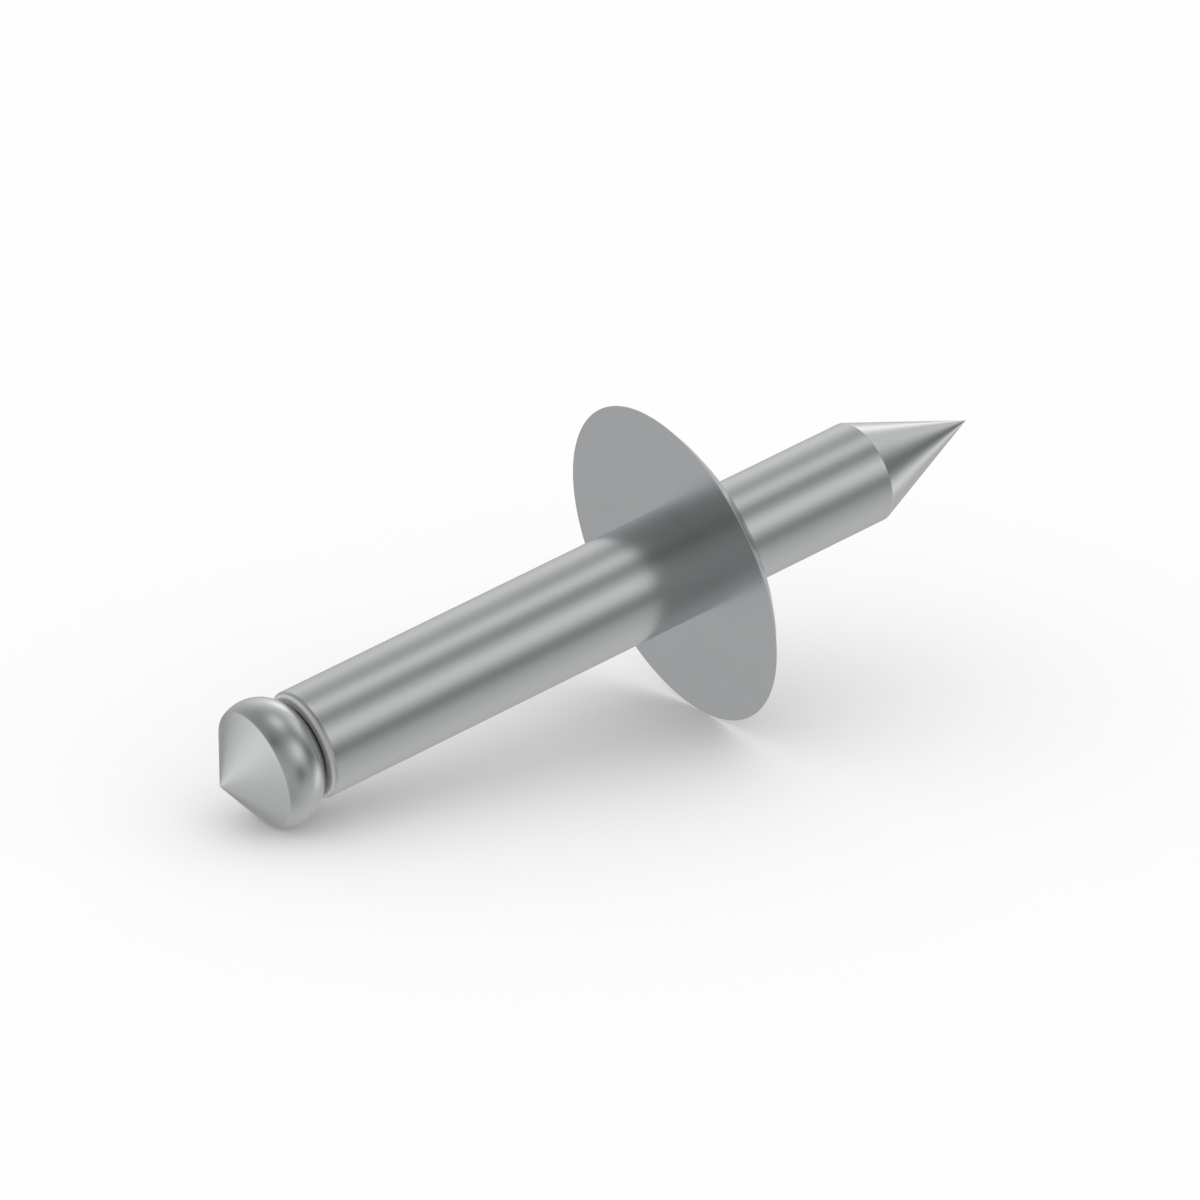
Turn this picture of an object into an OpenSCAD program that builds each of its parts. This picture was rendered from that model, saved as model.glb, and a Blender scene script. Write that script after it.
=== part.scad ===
// Pop rivet: a hollow aluminium rivet body with a wide domed flange, on a
// one-piece steel mandrel. Millimetres.
//
// Both pieces are turned profiles. A profile is drawn with the radius along X
// and the rivet's axis along Y. Zero on the axis is the flat front face of the
// flange: the shank and the mandrel's head lie below it, and the dome, the
// mandrel's tail and its point above it.
//
// The rivet lies as it comes to rest on a table, on the flange's rim and on the
// mandrel's head, with the point up and towards +X. The origin is on the table,
// midway between the head's tip and the point.

/* [Rivet body] */
// Outside diameter of the shank
shank_d = 4; // [3.6:0.1:4.4]
// Length of the shank, from the flange's front face to the rounded end
shank_len = 15.92; // [8:0.02:24]
// Radius that rounds the shank's free end
end_round = 0.2; // [0.05:0.05:0.3]
// Diameter of the bore for the mandrel
bore_d = 2.5; // [2:0.1:2.7]
// Width of the chamfer at both ends of the bore
bore_chamfer = 0.1; // [0.04:0.02:0.16]

/* [Flange] */
// Diameter of the wide flange
flange_d = 12; // [8:0.5:16]
// Height of the dome, from the front face to the land under the mandrel's tail
dome_h = 1.85; // [1:0.05:2.6]
// Thickness of the flange at its rim
rim_t = 0.02; // [0.02:0.02:0.5]
// Width of the flat land left showing around the mandrel's tail
land_edge = 0.12; // [0.04:0.02:0.4]

/* [Mandrel head] */
// Largest diameter of the head, across the bulb
head_d = 4.65; // [4.5:0.05:5.2]
// Diameter where the cone on the front of the head meets the bulb
cone_d = 4.34; // [3.6:0.02:4.4]
// Full angle of that cone
cone_angle = 112.9; // [90:0.1:130]
// Radius of the bulb's rounded section
bulb_round = 1.4; // [1.1:0.05:1.5]
// Diameter of the head's flat underside, which bears on the shank's end
seat_d = 2.91; // [2.86:0.01:3.1]
// Fillet between the underside and the stem
neck_fillet = 0.08; // [0.02:0.02:0.1]

/* [Mandrel stem] */
// Gap all round between the stem and the bore
stem_gap = 0.05; // [0.02:0.01:0.1]
// Gap between the mandrel and the body at each end, where they seat
seat_gap = 0.02; // [0.01:0.01:0.1]
// Distance from the head's underside to the middle of the break notch
notch_from_head = 2.6; // [1:0.1:6]
// Diameter left at the root of the break notch
notch_d = 1.6; // [1.1:0.1:1.7]
// Full angle of the break notch
notch_angle = 80; // [60:5:100]

/* [Mandrel tail] */
// Diameter of the tail that the tool's jaws grip
tail_d = 3.77; // [3:0.01:4.4]
// Distance from the flange's front face to the start of the point
tail_reach = 8.25; // [5:0.05:30]
// Length of the conical point
point_len = 4.7; // [2:0.1:8]

/* [Hidden] */
$fn = 160;

// Rivet body
shank_r = shank_d / 2;
bore_r = bore_d / 2;
flange_r = flange_d / 2;
land_r = tail_d / 2 + land_edge;
// Centre of the dome's arc on the axis: it passes the rim's top and the land's edge
dome_centre = (dome_h * dome_h + land_r * land_r - rim_t * rim_t - flange_r * flange_r)
    / (2 * (dome_h - rim_t));
dome_round = norm([flange_r, rim_t - dome_centre]);

// Mandrel, from the head's tip to the point
stem_r = bore_r - stem_gap;
tail_r = tail_d / 2;
underside = -shank_len - seat_gap;
bulb_r = head_d / 2 - bulb_round;
bulb_centre = underside - sqrt(pow(bulb_round, 2) - pow(seat_d / 2 - bulb_r, 2));
cone_base = bulb_centre - sqrt(pow(bulb_round, 2) - pow(cone_d / 2 - bulb_r, 2));
head_tip = cone_base - cone_d / 2 / tan(cone_angle / 2);
shoulder = dome_h + seat_gap;
tail_tip = tail_reach + point_len;
notch_at = underside + notch_from_head;
notch_half = (stem_r - notch_d / 2) * tan(notch_angle / 2);

// How it lies: the line under the flange's rim and the bulb is the table
rim_above_bulb = flange_r - bulb_r;
rest_tilt = atan2(rim_above_bulb, -bulb_centre)
    - asin(bulb_round / norm([rim_above_bulb, bulb_centre]));

// Moves a piece from its own axis to the way that the rivet lies
module at_rest() {
    translate([-(head_tip + tail_tip) / 2 * cos(rest_tilt), 0, flange_r * cos(rest_tilt)])
        rotate([0, 90 - rest_tilt, 0])
            children();
}

// A square-cornered section between two heights, from the axis out to a radius
module band(r, low, high) {
    polygon([[0, low], [r, low], [r, high], [0, high]]);
}

// Section of the shank, with its free end rounded
module shank_section() {
    band(shank_r, end_round - shank_len, dome_h / 2);
    band(shank_r - end_round, -shank_len, 0);
    translate([shank_r - end_round, end_round - shank_len])
        circle(r = end_round);
}

// Section of the flange: flat in front, a cap of a sphere behind, a flat land on top
module flange_section() {
    intersection() {
        band(flange_r, 0, dome_h);
        translate([0, dome_centre])
            circle(r = dome_round);
    }
}

// Section that the bore takes out, wider at both ends for its chamfers
module bore_section() {
    band(bore_r, -shank_len - 1, dome_h + 1);
    for (mouth = [[-shank_len, 1], [dome_h, -1]])
        polygon([
            [0, mouth[0] - mouth[1]],
            [bore_r + bore_chamfer + 1, mouth[0] - mouth[1]],
            [bore_r + bore_chamfer, mouth[0]],
            [bore_r, mouth[0] + mouth[1] * bore_chamfer],
            [0, mouth[0] + mouth[1] * bore_chamfer]
        ]);
}

// Section of the head: a rounded bulb, trimmed to a cone in front and flat underneath
module head_section() {
    intersection() {
        union() {
            translate([bulb_r, bulb_centre])
                circle(r = bulb_round);
            band((bulb_r + cone_d / 2) / 2, head_tip, bulb_centre);
            band(bulb_r, bulb_centre, underside);
        }
        polygon([
            [0, head_tip],
            [head_d, head_tip + head_d / tan(cone_angle / 2)],
            [head_d, underside],
            [0, underside]
        ]);
    }
}

// Section of the stem, with the fillet under the head
module stem_section() {
    band(stem_r, cone_base, tail_reach);
    difference() {
        band(stem_r + neck_fillet, underside - neck_fillet, underside + neck_fillet);
        translate([stem_r + neck_fillet, underside + neck_fillet])
            circle(r = neck_fillet);
    }
}

// Section that the break notch takes out of the stem
module notch_section() {
    polygon([
        [notch_d / 2, notch_at],
        [stem_r, notch_at + notch_half],
        [stem_r + 1, notch_at + notch_half],
        [stem_r + 1, notch_at - notch_half],
        [stem_r, notch_at - notch_half]
    ]);
}

// Section of the tail and its point
module tail_section() {
    band(tail_r, shoulder, tail_reach);
    polygon([[0, tail_reach], [tail_r, tail_reach], [0, tail_tip]]);
}

// Hollow shank and wide domed flange, in one piece of aluminium
module rivet_body() {
    color([0.67, 0.68, 0.68])
        at_rest()
            rotate_extrude()
                difference() {
                    union() {
                        shank_section();
                        flange_section();
                    }
                    bore_section();
                }
}

// Head, stem, break notch, tail and point, in one piece of steel
module mandrel() {
    color([0.64, 0.65, 0.65])
        at_rest()
            rotate_extrude()
                difference() {
                    union() {
                        head_section();
                        stem_section();
                        tail_section();
                    }
                    notch_section();
                }
}

rivet_body();
mandrel();
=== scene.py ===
"""A pop rivet: a hollow aluminium body with a wide domed flange, on a one-piece steel mandrel.

Everything is in metres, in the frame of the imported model: the mandrel's point is towards +X, Z is up
and the floor is at Z = 0. Each piece is drawn as half a section, with the rivet's axis along X and the
radius along Z, zero being the flange's flat front face. The section is spun round the axis, and the
piece is then laid down on the flange's rim and the mandrel's head, the way the rivet comes to rest.
"""

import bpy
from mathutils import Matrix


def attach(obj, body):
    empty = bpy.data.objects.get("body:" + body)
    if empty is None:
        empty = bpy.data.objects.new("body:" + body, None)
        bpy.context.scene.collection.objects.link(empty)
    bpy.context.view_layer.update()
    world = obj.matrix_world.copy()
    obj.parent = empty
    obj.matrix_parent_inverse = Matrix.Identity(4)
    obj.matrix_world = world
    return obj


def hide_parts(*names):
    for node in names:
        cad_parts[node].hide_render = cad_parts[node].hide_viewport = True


bl_info = {
    "name": "Pop rivet",
    "version": (1, 0, 0),
    "blender": (4, 5, 0),
    "location": "3D View > Sidebar > Pop rivet",
    "description": "Builds a pop rivet around its packed CAD model, with a studio stage",
    "category": "Object",
}

import math
from types import SimpleNamespace

import bmesh
import bpy
from mathutils import Matrix, Vector

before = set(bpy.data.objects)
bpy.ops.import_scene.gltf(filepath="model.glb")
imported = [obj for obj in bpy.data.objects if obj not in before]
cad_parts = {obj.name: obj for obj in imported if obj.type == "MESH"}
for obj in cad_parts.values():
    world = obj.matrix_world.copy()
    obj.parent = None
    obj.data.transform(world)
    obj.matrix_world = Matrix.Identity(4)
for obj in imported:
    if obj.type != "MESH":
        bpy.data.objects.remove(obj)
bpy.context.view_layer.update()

MM = 0.001
TURN = 2 * math.pi
AROUND = 192                # steps in a full turn of a piece
ARC_STEP = math.radians(5)  # longest step on a rounded part of a section
ARC_LEAST = 4               # fewest steps on a rounded part of a section
EASE_STEPS = 3              # steps across a rounded edge
CREASE = math.radians(24)   # a sharper edge is shaded as an edge
GUARD = 0.045 * MM          # short step beside a rounded edge
LONG_RUN = 4 * GUARD        # a longer straight run gets such a step at each end
SEAM = 1e-4 * MM            # points nearer than this are one point
NEAR = 1e-3 * MM            # how near a ring lies to the corner that names it
PHOTO_PIXELS = 1200         # width of the photograph
SENSOR = 36                 # width of the camera's sensor, in millimetres
CLIP_START = 0.01           # nearest distance that the camera shows, in metres
TENT_SPLITS = 4             # how finely the round tent is divided

# Noise patterns of the satin metals: scale per millimetre, and detail.
RINGS = (7, 3)
DRAWN_LINES = (9, 3)
GRAIN = (11, 4)
MOTTLE = (0.7, 3)
NOISE_ROUGHNESS = 0.55
STEEL_RINGS = 0.7             # how strong the mandrel's turning rings are, the body's being 1
DRAWN_STRETCH = (0.06, 1, 1)  # drawing lines change slowly along the axis
FADE = 0.05                   # half width, in millimetres, of a finish's soft limits

# How much the lines, the grain and the mottle each count in what they change.
IN_ROUGHNESS = (0.9, 0.6, 0.8)
IN_TONE = (0.3, 0.35, 0.9)
IN_RELIEF = (0.8, 0.7)

# Rubbed edges: how strong they are, how much smoother, and how much brighter.
RUB_LEVEL = 0.75
RUB_SMOOTHS = 0.06
RUB_BRIGHTENS = 0.5

# How far the rubbing reaches from each worn edge, in millimetres.
LAND_WEAR = 0.12
SHANK_END_WEAR = 0.3
CONE_WEAR = 0.16
TAIL_WEAR = 0.14
HEAD_TIP_WEAR = 0.3
POINT_WEAR = 0.4

# The shank's cut end: its depth, how far outside the bore's mouth its dull ring starts, where on
# the rounded edge its painted highlight starts, and how far over that edge it runs. The dull ring's
# pale colour is painted light that lightens the shade in the gap under the mandrel's head.
CUT_DEPTH = 0.15 * MM
CUT_INSIDE = 0.14 * MM
CUT_PAINTED_HIGHLIGHT = 0.02 * MM
CUT_OUTSIDE = 0.12 * MM

# The light tent's soft lamps (above the tent's own level) and dark flags (below it):
# compass direction from +Y towards +X, height above the horizon, spread, and level.
TENT_LAMPS = (
    ("key lamp", 40, 28.5, 20.5, 0.75),
    ("key lamp core", 47.5, 23.5, 6.5, 0.73),
    ("side lamp", 91.5, 34, 16.5, 1.19),
    ("side flag", 101.5, 30.5, 27, -0.87),
    ("low side lamp", 105, -17, 9.5, 0.69),
    ("front lamp", 149, 31, 15, 0.85),
    ("front flag", 162, -5, 12, -0.34),
    ("top lamp", 97.5, 77.5, 12.5, 0.76),
    ("upper fill", -122, 87.5, 32, 0.13),
    ("upper flag", -137.5, 48, 10.5, -0.19),
    ("head lamp", -74, -2.5, 20, 0.52),
    ("head fill", -38.5, -9.5, 18.5, 0.27),
    ("low flag", -164, -52, 29, -0.43),
    ("low back flag", 6.5, -40.5, 30, -0.5),
)


# Sizes and finishes


def length(name, millimetres, description):
    """A length property whose default is given in millimetres."""
    return bpy.props.FloatProperty(
        name=name,
        description=description,
        default=millimetres * MM,
        min=0,
        precision=5,
        unit="LENGTH",
        subtype="DISTANCE",
    )


def angle(name, degrees, description):
    """An angle property whose default is given in degrees."""
    return bpy.props.FloatProperty(
        name=name,
        description=description,
        default=math.radians(degrees),
        unit="ROTATION",
        subtype="ANGLE",
    )


def share(name, default, description):
    """A plain number from 0 to 1."""
    return bpy.props.FloatProperty(
        name=name, description=description, default=default, min=0, max=1, subtype="FACTOR"
    )


def colour(name, default, description):
    """A linear colour."""
    return bpy.props.FloatVectorProperty(
        name=name, description=description, default=default, size=3, min=0, max=1, subtype="COLOR"
    )


class BodySizes(bpy.types.PropertyGroup):
    """Sizes of the rivet body, as the CAD model has them."""

    shank_d: length("Shank diameter", 4, "Outside diameter of the shank")
    shank_len: length("Shank length", 15.92, "From the flange's front face to the rounded end")
    end_round: length("End round", 0.2, "Radius that rounds the shank's free end")
    bore_d: length("Bore diameter", 2.5, "Diameter of the bore for the mandrel")
    bore_chamfer: length("Bore chamfer", 0.1, "Width of the chamfer at both ends of the bore")
    flange_d: length("Flange diameter", 12, "Diameter of the wide flange")
    dome_h: length("Dome height", 1.85, "From the front face to the land under the tail")
    rim_t: length("Rim thickness", 0.02, "Thickness of the flange at its rim")
    land_edge: length("Land edge", 0.12, "Width of the flat land around the mandrel's tail")
    rim_break: length("Rim break", 0.009, "Rounding of the flange's thin rim")
    edge_break: length("Edge break", 0.02, "Rounding of the land's and the chamfers' edges")


class MandrelSizes(bpy.types.PropertyGroup):
    """Sizes of the mandrel, as the CAD model has them."""

    head_d: length("Head diameter", 4.65, "Largest diameter of the head, across the bulb")
    cone_d: length("Cone diameter", 4.34, "Where the cone on the head's front meets the bulb")
    cone_angle: angle("Cone angle", 112.9, "Full angle of the head's cone")
    bulb_round: length("Bulb round", 1.4, "Radius of the bulb's rounded section")
    seat_d: length("Seat diameter", 2.91, "Flat underside of the head, on the shank's end")
    neck_fillet: length("Neck fillet", 0.08, "Fillet between the underside and the stem")
    stem_gap: length("Stem gap", 0.05, "Gap all round between the stem and the bore")
    seat_gap: length("Seat gap", 0.02, "Gap to the body at each end, where they seat")
    notch_from_head: length("Notch place", 2.6, "From the head's underside to the break notch")
    notch_d: length("Notch diameter", 1.6, "Diameter left at the root of the break notch")
    notch_angle: angle("Notch angle", 80, "Full angle of the break notch")
    tail_d: length("Tail diameter", 3.77, "Diameter of the tail that the tool grips")
    tail_reach: length("Tail reach", 8.25, "From the flange's front face to the point's start")
    point_len: length("Point length", 4.7, "Length of the conical point")
    edge_break: length("Edge break", 0.02, "Rounding of the cones' and the shoulder's edges")


class MetalFinishes(bpy.types.PropertyGroup):
    """Finishes of the two metals."""

    aluminium: colour("Aluminium", (0.505, 0.516, 0.517), "Colour of the rivet body")
    steel: colour("Steel", (0.503, 0.517, 0.513), "Colour of the mandrel")
    edge_tint: colour("Edge tint", (0.96, 0.958, 0.992), "Tint of the metals seen edge-on")
    roughness: share("Roughness", 0.21, "Roughness of the satin surface")
    # The cut end's pale colour is painted light that lightens the shade in the gap under the head; the
    # next colour is a painted highlight on the end's rounded edge.
    cut_painted_light_tone: colour("Cut end, painted lighter", (0.68, 0.68, 0.69), "Colour of the shank's cut end")
    painted_highlight_tone: colour("Painted highlight", (0.85, 0.85, 0.86), "Colour of the bright burr round the cut end")
    cut_dullness: share("Cut dullness", 0.55, "How far the cut end has lost its metallic look")
    cut_roughness: share("Cut roughness", 0.6, "Roughness of the shank's cut end")
    unevenness: share("Unevenness", 0.05, "How far the roughness wanders")
    mottle: share("Mottle", 0.035, "How far the colour wanders")
    grain_depth: length("Grain depth", 0.0012, "Height of the fine surface grain")


class StageSettings(bpy.types.PropertyGroup):
    """Floor, light and camera."""

    floor_colour: colour("Floor", (0.995, 0.995, 0.995), "Colour of the pale floor")
    floor_size: length("Floor size", 6000, "Side of the square floor")
    tent_radius: length("Tent radius", 2000, "Radius of the light tent")
    tent_level: bpy.props.FloatProperty(
        name="Tent level", description="Brightness of the tent away from its lamps", default=0.68
    )
    tent_slope: bpy.props.FloatProperty(
        name="Tent slope", description="How much the tent dims from bottom to top", default=0.4
    )
    azimuth: angle("Azimuth", -34.41, "Camera's turn round Z, zero looking along +Y")
    elevation: angle("Elevation", 21.65, "Camera's height above the horizon")
    distance: length("Distance", 352.4, "Camera's distance from the flange along its view")
    shift_right: length("Aim to the right", 2.58, "Flange centre's place right of the view's axis")
    shift_up: length("Aim upwards", 1.27, "Flange centre's place above the view's axis")
    focal_pixels: bpy.props.FloatProperty(
        name="Focal length", description="Focal length in pixels of the photograph", default=10053
    )


# Measures that follow from the sizes


def measures(scene):
    """Places along the axis and radii that both pieces share."""
    body, mandrel = scene.rivet_body, scene.rivet_mandrel
    m = SimpleNamespace(body=body, mandrel=mandrel)
    m.shank_r = body.shank_d / 2
    m.bore_r = body.bore_d / 2
    m.mouth_r = m.bore_r + body.bore_chamfer
    m.end_r = m.shank_r - body.end_round
    m.flange_r = body.flange_d / 2
    m.tail_r = mandrel.tail_d / 2
    m.land_r = m.tail_r + body.land_edge
    m.dome_centre = (
        body.dome_h**2 + m.land_r**2 - body.rim_t**2 - m.flange_r**2
    ) / (2 * (body.dome_h - body.rim_t))

    m.stem_r = m.bore_r - mandrel.stem_gap
    m.cone_r = mandrel.cone_d / 2
    m.seat_r = mandrel.seat_d / 2
    m.notch_r = mandrel.notch_d / 2
    m.bulb_r = mandrel.head_d / 2 - mandrel.bulb_round
    m.underside = -body.shank_len - mandrel.seat_gap
    m.bulb_centre = m.underside - math.sqrt(mandrel.bulb_round**2 - (m.seat_r - m.bulb_r) ** 2)
    m.cone_base = m.bulb_centre - math.sqrt(mandrel.bulb_round**2 - (m.cone_r - m.bulb_r) ** 2)
    m.head_tip = m.cone_base - m.cone_r / math.tan(mandrel.cone_angle / 2)
    m.shoulder = body.dome_h + mandrel.seat_gap
    m.tail_tip = mandrel.tail_reach + mandrel.point_len
    m.notch_at = m.underside + mandrel.notch_from_head
    m.notch_half = (m.stem_r - m.notch_r) * math.tan(mandrel.notch_angle / 2)

    rim_above_bulb = m.flange_r - m.bulb_r
    m.tilt = math.atan2(rim_above_bulb, -m.bulb_centre) - math.asin(
        mandrel.bulb_round / math.hypot(rim_above_bulb, m.bulb_centre)
    )
    m.flange_centre = Vector(
        (-(m.head_tip + m.tail_tip) / 2 * math.cos(m.tilt), 0, m.flange_r * math.cos(m.tilt))
    )
    m.at_rest = Matrix.Translation(m.flange_centre) @ Matrix.Rotation(-m.tilt, 4, "Y")
    return m


# Turned pieces


class Section:
    """A pen that draws half a section with bmesh operators, then spins it into a turned piece."""

    def __init__(self, along, out):
        self.mesh = bmesh.new()
        self.tip = self.mesh.verts.new((along, 0, out))

    def line(self, along, out):
        """Draws a straight run to a place along the axis and a radius. A long run has a short
        step at each end, which keeps the shading of a rounded edge or a tip from spreading."""
        start, end = self.tip.co.copy(), Vector((along, 0, out))
        run = end - start
        stops = [end]
        if run.length > LONG_RUN:
            stops = [start + run.normalized() * GUARD, end - run.normalized() * GUARD, end]
        for stop in stops:
            made = bmesh.ops.extrude_vert_indiv(self.mesh, verts=[self.tip])
            self.tip = made["verts"][0]
            self.tip.co = stop
        return self

    def arc(self, along, out, sweep):
        """Turns the pen about a centre, by an angle that is positive from the radius to the axis."""
        made = bmesh.ops.spin(
            self.mesh,
            geom=[self.tip],
            cent=(along, 0, out),
            axis=(0, 1, 0),
            angle=sweep,
            steps=max(ARC_LEAST, math.ceil(abs(sweep) / ARC_STEP)),
            use_duplicate=False,
        )
        self.tip = next(g for g in made["geom_last"] if isinstance(g, bmesh.types.BMVert))
        return self

    def spin(self):
        """Spins the section a full turn about the axis, and closes the seam and the poles."""
        bmesh.ops.spin(
            self.mesh,
            geom=self.mesh.verts[:] + self.mesh.edges[:],
            cent=(0, 0, 0),
            axis=(1, 0, 0),
            angle=TURN,
            steps=AROUND,
            use_merge=True,
            use_duplicate=False,
        )
        bmesh.ops.remove_doubles(self.mesh, verts=self.mesh.verts[:], dist=SEAM)
        bmesh.ops.recalc_face_normals(self.mesh, faces=self.mesh.faces[:])
        return self

    def ease(self, width, *corners):
        """Rounds the ring-shaped edges at these corners of the section."""
        rings = [
            edge
            for edge in self.mesh.edges
            if all(
                any(
                    math.hypot(v.co.x - along, math.hypot(v.co.y, v.co.z) - out) < NEAR
                    for along, out in corners
                )
                for v in edge.verts
            )
            and abs(edge.verts[0].co.x - edge.verts[1].co.x) < NEAR
        ]
        bmesh.ops.bevel(
            self.mesh,
            geom=rings,
            offset=width,
            offset_type="OFFSET",
            affect="EDGES",
            segments=EASE_STEPS,
            profile=0.5,
            material=-1,
        )
        return self

    def piece(self, name, placing):
        """Turns the mesh into an object at the origin, with its place in its mesh."""
        bmesh.ops.transform(self.mesh, matrix=placing, verts=self.mesh.verts[:])
        bmesh.ops.recalc_face_normals(self.mesh, faces=self.mesh.faces[:])
        for face in self.mesh.faces:
            face.smooth = True
        data = bpy.data.meshes.new(name)
        self.mesh.to_mesh(data)
        self.mesh.free()
        data.set_sharp_from_angle(angle=CREASE)
        made = bpy.data.objects.new(name, data)
        bpy.context.scene.collection.objects.link(made)
        return made


def body_section(m):
    """Half a section of the rivet body, all round from the bore's mouth."""
    body = m.body
    section = Section(body.bore_chamfer - body.shank_len, m.bore_r)
    section.line(-body.shank_len, m.mouth_r)
    section.line(-body.shank_len, m.end_r)
    section.arc(body.end_round - body.shank_len, m.end_r, TURN / 4)
    section.line(0, m.shank_r)
    section.line(0, m.flange_r)
    section.line(body.rim_t, m.flange_r)
    section.arc(
        m.dome_centre,
        0,
        math.atan2(m.flange_r, body.rim_t - m.dome_centre)
        - math.atan2(m.land_r, body.dome_h - m.dome_centre),
    )
    section.line(body.dome_h, m.mouth_r)
    section.line(body.dome_h - body.bore_chamfer, m.bore_r)
    section.line(body.bore_chamfer - body.shank_len, m.bore_r)
    return section


def mandrel_section(m):
    """Half a section of the mandrel, from the head's tip to the point."""
    mandrel = m.mandrel
    section = Section(m.head_tip, 0)
    section.line(m.cone_base, m.cone_r)
    section.arc(
        m.bulb_centre,
        m.bulb_r,
        math.atan2(m.cone_r - m.bulb_r, m.cone_base - m.bulb_centre)
        - math.atan2(m.seat_r - m.bulb_r, m.underside - m.bulb_centre),
    )
    section.line(m.underside, m.stem_r + mandrel.neck_fillet)
    section.arc(m.underside + mandrel.neck_fillet, m.stem_r + mandrel.neck_fillet, -TURN / 4)
    section.line(m.notch_at - m.notch_half, m.stem_r)
    section.line(m.notch_at, m.notch_r)
    section.line(m.notch_at + m.notch_half, m.stem_r)
    section.line(m.shoulder, m.stem_r)
    section.line(m.shoulder, m.tail_r)
    section.line(mandrel.tail_reach, m.tail_r)
    section.line(m.tail_tip, 0)
    return section


# Materials


class Signal:
    """A node's output that takes part in Python expressions; each operation adds its Math node."""

    def __init__(self, graph, socket):
        self.graph = graph
        self.socket = socket

    def __add__(self, other):
        return self.graph.math("ADD", self, other)

    def __radd__(self, other):
        return self.graph.math("ADD", other, self)

    def __sub__(self, other):
        return self.graph.math("SUBTRACT", self, other)

    def __rsub__(self, other):
        return self.graph.math("SUBTRACT", other, self)

    def __mul__(self, other):
        return self.graph.math("MULTIPLY", self, other)

    def __rmul__(self, other):
        return self.graph.math("MULTIPLY", other, self)

    def __truediv__(self, other):
        return self.graph.math("DIVIDE", self, other)

    def __pow__(self, other):
        return self.graph.math("POWER", self, other)

    def __abs__(self):
        return self.graph.math("ABSOLUTE", self)


class Graph:
    """A node tree, cleared, to which nodes are added one by one."""

    def __init__(self, owner):
        self.tree = owner.node_tree
        self.tree.nodes.clear()

    def node(self, kind, settings=None, values=None, output=0):
        """Adds a node with its settings first and then its sockets' values or links."""
        made = self.tree.nodes.new(kind)
        for name, setting in (settings or {}).items():
            setattr(made, name, setting)
        for name, value in (values or {}).items():
            if isinstance(value, Signal):
                self.tree.links.new(value.socket, made.inputs[name])
            else:
                made.inputs[name].default_value = value
        return Signal(self, made.outputs[output]) if len(made.outputs) else made

    def math(self, operation, *terms):
        """Adds a Math node."""
        return self.node("ShaderNodeMath", {"operation": operation}, dict(enumerate(terms)))

    def blend(self, factor, low, high):
        """Mixes two colours."""
        return self.node("ShaderNodeMix", {"data_type": "RGBA"}, {0: factor, 6: low, 7: high}, 2)

    def noise(self, place, pattern):
        """A noise pattern around zero, reaching about one half each way."""
        scale, detail = pattern
        values = {
            "Vector": place,
            "Scale": scale,
            "Detail": detail,
            "Roughness": NOISE_ROUGHNESS,
        }
        return self.node("ShaderNodeTexNoise", {"normalize": True}, values, "Fac") - 0.5

    def step(self, value, low, high):
        """Rises smoothly from 0 to 1 while the value goes from low to high."""
        values = {"Value": value, "From Min": low, "From Max": high}
        return self.node("ShaderNodeMapRange", {"interpolation_type": "SMOOTHSTEP"}, values)

    def past(self, value, limit):
        """Rises from 0 to 1 where the value passes a limit, with a short fade."""
        return self.step(value, limit - FADE, limit + FADE)

    def ridge(self, value, centre, half_width):
        """1 where the value is at the centre, falling smoothly to 0 on both sides."""
        return 1 - self.step(abs(value - centre), 0, half_width)


def new_material(name):
    """A material with an empty node tree."""
    made = bpy.data.materials.new(name)
    made.use_nodes = True
    return made, Graph(made)


def turned_places(graph, m):
    """Object coordinates turned onto the rivet's axis, in millimetres: the vector, the place
    along the axis, and the distance out from it."""
    spot = graph.node("ShaderNodeTexCoord", output="Object")
    placing = {
        "Vector": spot,
        "Location": m.flange_centre,
        "Rotation": (0, -m.tilt, 0),
        "Scale": (MM, MM, MM),
    }
    spot = graph.node("ShaderNodeMapping", {"vector_type": "TEXTURE"}, placing)
    parts = graph.node("ShaderNodeSeparateXYZ", values={"Vector": spot})
    along, across, up = (Signal(graph, s) for s in parts.socket.node.outputs)
    return spot, along, (across * across + up * up) ** 0.5


def weigh(patterns, shares):
    """Adds patterns up, each by its share."""
    return sum(pattern * share for pattern, share in zip(patterns, shares))


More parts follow.
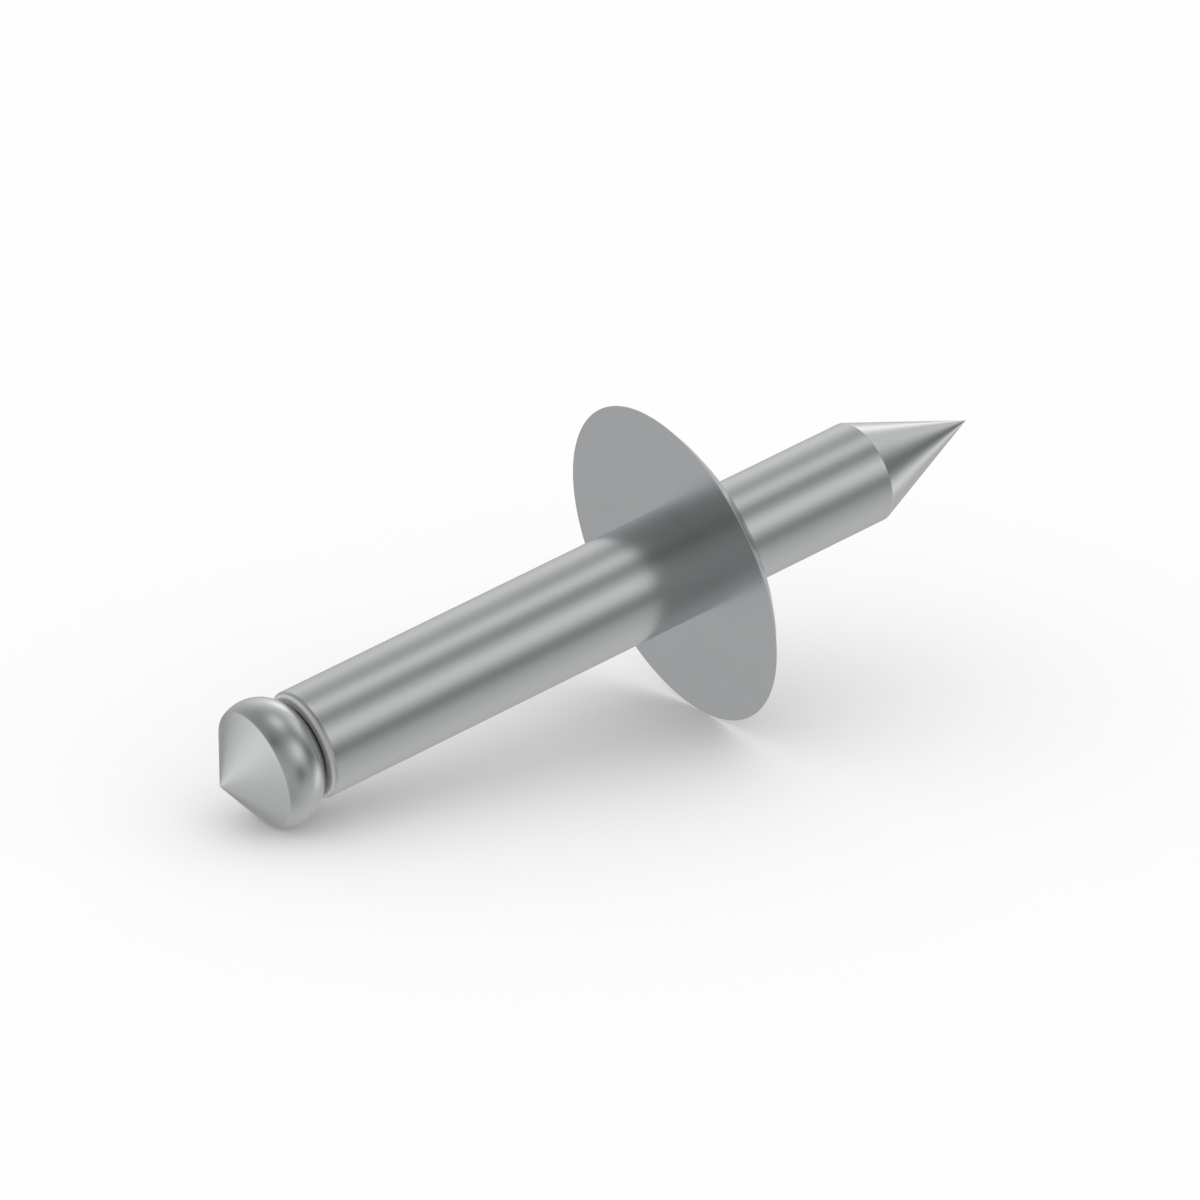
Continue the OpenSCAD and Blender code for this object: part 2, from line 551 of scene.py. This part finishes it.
def satin_metal(name, m, tone, worn, rings_share=1.0, drawn=None, cut=None):
    """Satin metal with turning rings, fine grain, a faint mottle and edges that handling has
    brightened. Each worn edge has its place along the axis, its radius and its reach. A drawn
    stretch has lines along the axis in place of the rings, between its two ends. A cut end is
    rougher and duller, and its paler colour is painted light that lightens the shade under the
    head: it has its place along the axis, its inner radius, the radius where its painted highlight
    starts, and its outer radius. All of them are in millimetres."""
    finish = bpy.context.scene.rivet_finish
    made, graph = new_material(name)
    spot, along, out = turned_places(graph, m)

    ring_place = graph.node("ShaderNodeCombineXYZ", values={"X": along, "Y": out})
    lines = graph.noise(ring_place, RINGS) * rings_share
    if drawn:
        start, end = drawn
        stretch = {0: spot, 1: DRAWN_STRETCH}
        place = graph.node("ShaderNodeVectorMath", {"operation": "MULTIPLY"}, stretch)
        within = graph.past(along, start) * (1 - graph.past(along, end))
        lines = graph.noise(place, DRAWN_LINES) * within + lines * (1 - within)
    grain = graph.noise(spot, GRAIN)
    mottle = graph.noise(spot, MOTTLE)
    patterns = (lines, grain, mottle)

    wear = sum(
        graph.ridge(along, place, reach) * graph.ridge(out, radius, reach)
        for place, radius, reach in worn
    )
    rub = wear * (RUB_LEVEL + grain)

    roughness = (
        finish.roughness
        + weigh(patterns, IN_ROUGHNESS) * finish.unevenness
        - rub * RUB_SMOOTHS
    )
    brightness = 0.5 + weigh(patterns, IN_TONE) + rub * RUB_BRIGHTENS
    low = [c * (1 - finish.mottle) for c in tone] + [1]
    high = [c * (1 + finish.mottle) for c in tone] + [1]
    tint = graph.blend(brightness, low, high)
    metal = 1.0
    if cut:
        end, inner, highlight, outer = cut
        # The cut end is rougher and duller, as a sawn end is. Its pale colour is painted light that
        # lightens the shade in the gap under the head.
        sawn_and_painted_light = (
            (1 - graph.past(along, end + CUT_DEPTH / MM))
            * graph.past(out, inner)
            * (1 - graph.past(out, outer))
        )
        roughness = roughness + sawn_and_painted_light * (finish.cut_roughness - finish.roughness)
        metal = 1 - sawn_and_painted_light * finish.cut_dullness
        # Painted highlight: from this radius outward, the rounded edge is paler still.
        bright = graph.past(out, highlight)
        pale = graph.blend(bright, (*finish.cut_painted_light_tone, 1), (*finish.painted_highlight_tone, 1))
        tint = graph.blend(sawn_and_painted_light, tint, pale)
    relief = {
        "Strength": 1.0,
        "Distance": finish.grain_depth,
        "Height": weigh(patterns, IN_RELIEF),
    }
    shader = {
        "Base Color": tint,
        "Metallic": metal,
        "Specular Tint": (*finish.edge_tint, 1),
        "Roughness": roughness,
        "Normal": graph.node("ShaderNodeBump", values=relief),
    }
    surface = graph.node("ShaderNodeBsdfPrincipled", values=shader)
    graph.node("ShaderNodeOutputMaterial", values={"Surface": surface})
    return made


def heading(compass, height):
    """Unit vector for a compass direction from +Y towards +X and a height above the horizon."""
    compass, height = math.radians(compass), math.radians(height)
    flat = math.cos(height)
    return Vector((flat * math.sin(compass), flat * math.cos(compass), math.sin(height)))


def tent_level(graph):
    """Brightness of the tent in each direction: its own level, its soft lamps and its flags."""
    stage = bpy.context.scene.rivet_stage
    place = graph.node("ShaderNodeTexCoord", output="Object")
    place = graph.node("ShaderNodeVectorMath", {"operation": "NORMALIZE"}, {0: place})
    height = graph.node("ShaderNodeSeparateXYZ", values={"Vector": place}, output="Z")
    level = stage.tent_level - height * stage.tent_slope
    for name, compass, rise, spread, strength in TENT_LAMPS:
        facing = graph.node(
            "ShaderNodeVectorMath",
            {"operation": "DOT_PRODUCT", "label": name},
            {0: place, 1: heading(compass, rise)},
            "Value",
        )
        falloff = graph.math("EXPONENT", (facing - 1) / math.radians(spread) ** 2)
        level = level + falloff * strength
    return graph.math("MAXIMUM", level, 0.0)


# Operators


def hand_over(piece, node, material):
    """Gives a finished piece its material and body, and lets it stand for its CAD node."""
    piece.data.materials.append(material)
    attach(piece, "root")
    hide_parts(node)


class RIVET_OT_body(bpy.types.Operator):
    """Turns the hollow shank with its wide domed flange"""

    bl_idname = "rivet.body"
    bl_label = "Build the rivet body"

    def execute(self, context):
        m = measures(context.scene)
        body = m.body
        section = body_section(m).spin()
        section.ease(body.rim_break, (0, m.flange_r), (body.rim_t, m.flange_r))
        section.ease(
            body.edge_break,
            (body.dome_h, m.land_r),
            (body.dome_h, m.mouth_r),
            (-body.shank_len, m.mouth_r),
        )
        piece = section.piece("flanged_body", m.at_rest)
        worn = (
            (body.dome_h / MM, m.land_r / MM, LAND_WEAR),
            (-body.shank_len / MM, m.shank_r / MM, SHANK_END_WEAR),
        )
        # The cut end's dull ring, whose pale colour is painted light in the shade under the head, and
        # the radius where its painted highlight starts.
        cut = (
            -body.shank_len / MM,
            (m.mouth_r + CUT_INSIDE) / MM,
            (m.end_r + CUT_PAINTED_HIGHLIGHT) / MM,
            (m.end_r + CUT_OUTSIDE) / MM,
        )
        tone = context.scene.rivet_finish.aluminium
        material = satin_metal("satin_aluminium", m, tone, worn, cut=cut)
        hand_over(piece, "rivet_body", material)
        return {"FINISHED"}


class RIVET_OT_mandrel(bpy.types.Operator):
    """Turns the mandrel: bulbed head, stem with its break notch, tail and point"""

    bl_idname = "rivet.mandrel"
    bl_label = "Build the mandrel"

    def execute(self, context):
        m = measures(context.scene)
        mandrel = m.mandrel
        section = mandrel_section(m).spin()
        section.ease(
            mandrel.edge_break,
            (m.cone_base, m.cone_r),
            (m.underside, m.seat_r),
            (m.shoulder, m.tail_r),
            (mandrel.tail_reach, m.tail_r),
        )
        piece = section.piece("bulbed_mandrel", m.at_rest)
        worn = (
            (m.cone_base / MM, m.cone_r / MM, CONE_WEAR),
            (mandrel.tail_reach / MM, m.tail_r / MM, TAIL_WEAR),
            (m.head_tip / MM, 0, HEAD_TIP_WEAR),
            (m.tail_tip / MM, 0, POINT_WEAR),
        )
        drawn = (m.shoulder / MM, mandrel.tail_reach / MM)
        tone = context.scene.rivet_finish.steel
        material = satin_metal("satin_steel", m, tone, worn, STEEL_RINGS, drawn)
        hand_over(piece, "mandrel", material)
        return {"FINISHED"}


class RIVET_OT_stage(bpy.types.Operator):
    """Lays the pale floor, hangs the light tent and sets up the camera"""

    bl_idname = "rivet.stage"
    bl_label = "Set the stage"

    def execute(self, context):
        stage = context.scene.rivet_stage
        m = measures(context.scene)
        self.lay_floor(context, stage)
        self.hang_tent(context, stage)
        self.light_world(context)
        self.set_camera(context, stage, m)
        context.scene.view_settings.view_transform = "Standard"
        return {"FINISHED"}

    def lay_floor(self, context, stage):
        mesh = bmesh.new()
        bmesh.ops.create_grid(mesh, x_segments=1, y_segments=1, size=stage.floor_size / 2)
        data = bpy.data.meshes.new("floor")
        mesh.to_mesh(data)
        mesh.free()
        floor = bpy.data.objects.new("floor", data)
        context.scene.collection.objects.link(floor)
        material, graph = new_material("pale_floor")
        surface = graph.node(
            "ShaderNodeBsdfDiffuse", values={"Color": (*stage.floor_colour, 1), "Roughness": 0.0}
        )
        graph.node("ShaderNodeOutputMaterial", values={"Surface": surface})
        data.materials.append(material)
        floor.visible_glossy = False

    def hang_tent(self, context, stage):
        mesh = bmesh.new()
        bmesh.ops.create_icosphere(mesh, subdivisions=TENT_SPLITS, radius=stage.tent_radius)
        bmesh.ops.reverse_faces(mesh, faces=mesh.faces[:])
        data = bpy.data.meshes.new("light_tent")
        mesh.to_mesh(data)
        mesh.free()
        tent = bpy.data.objects.new("light_tent", data)
        context.scene.collection.objects.link(tent)
        material, graph = new_material("tent_cloth")
        light = graph.node(
            "ShaderNodeEmission", values={"Color": (1, 1, 1, 1), "Strength": tent_level(graph)}
        )
        graph.node("ShaderNodeOutputMaterial", values={"Surface": light})
        data.materials.append(material)
        for ray in ("camera", "diffuse", "transmission", "volume_scatter", "shadow"):
            setattr(tent, "visible_" + ray, False)

    def light_world(self, context):
        world = bpy.data.worlds.new("white_studio")
        world.use_nodes = True
        graph = Graph(world)
        light = graph.node(
            "ShaderNodeBackground", values={"Color": (1, 1, 1, 1), "Strength": 1.0}
        )
        graph.node("ShaderNodeOutputWorld", values={"Surface": light})
        context.scene.world = world

    def set_camera(self, context, stage, m):
        turn, rise = stage.azimuth, stage.elevation
        right = Vector((math.cos(turn), math.sin(turn), 0))
        back = Vector(
            (math.sin(turn) * math.cos(rise), -math.cos(turn) * math.cos(rise), math.sin(rise))
        )
        up = back.cross(right)
        data = bpy.data.cameras.new("camera")
        data.sensor_width = SENSOR
        data.lens = stage.focal_pixels / PHOTO_PIXELS * SENSOR
        data.clip_start = CLIP_START
        camera = bpy.data.objects.new("camera", data)
        place = (
            m.flange_centre
            - right * stage.shift_right
            - up * stage.shift_up
            + back * stage.distance
        )
        axes = Matrix((right, up, back)).transposed().to_4x4()
        camera.matrix_world = Matrix.Translation(place) @ axes
        context.scene.collection.objects.link(camera)
        context.scene.camera = camera


class RIVET_PT_panel(bpy.types.Panel):
    """Lists the rivet's sizes, finishes and stage, with a button for each step"""

    bl_idname = "RIVET_PT_panel"
    bl_label = "Pop rivet"
    bl_space_type = "VIEW_3D"
    bl_region_type = "UI"
    bl_category = "Pop rivet"

    def draw(self, context):
        for step, groups in STEPS:
            box = self.layout.box()
            for group in groups:
                settings = getattr(context.scene, group)
                for name in settings.__annotations__:
                    box.prop(settings, name)
            box.operator(step.bl_idname)


GROUPS = {
    "rivet_body": BodySizes,
    "rivet_mandrel": MandrelSizes,
    "rivet_finish": MetalFinishes,
    "rivet_stage": StageSettings,
}
STEPS = (
    (RIVET_OT_body, ("rivet_body", "rivet_finish")),
    (RIVET_OT_mandrel, ("rivet_mandrel",)),
    (RIVET_OT_stage, ("rivet_stage",)),
)
CLASSES = (*GROUPS.values(), *(step for step, _ in STEPS), RIVET_PT_panel)


def register():
    """Registers the classes and gives the scene its settings."""
    for cls in CLASSES:
        bpy.utils.register_class(cls)
    for name, group in GROUPS.items():
        setattr(bpy.types.Scene, name, bpy.props.PointerProperty(type=group))


def unregister():
    """Takes the settings and the classes away again."""
    for name in GROUPS:
        delattr(bpy.types.Scene, name)
    for cls in reversed(CLASSES):
        bpy.utils.unregister_class(cls)


def main():
    register()
    bpy.ops.rivet.body()
    bpy.ops.rivet.mandrel()
    bpy.ops.rivet.stage()


if __name__ == "__main__":
    main()
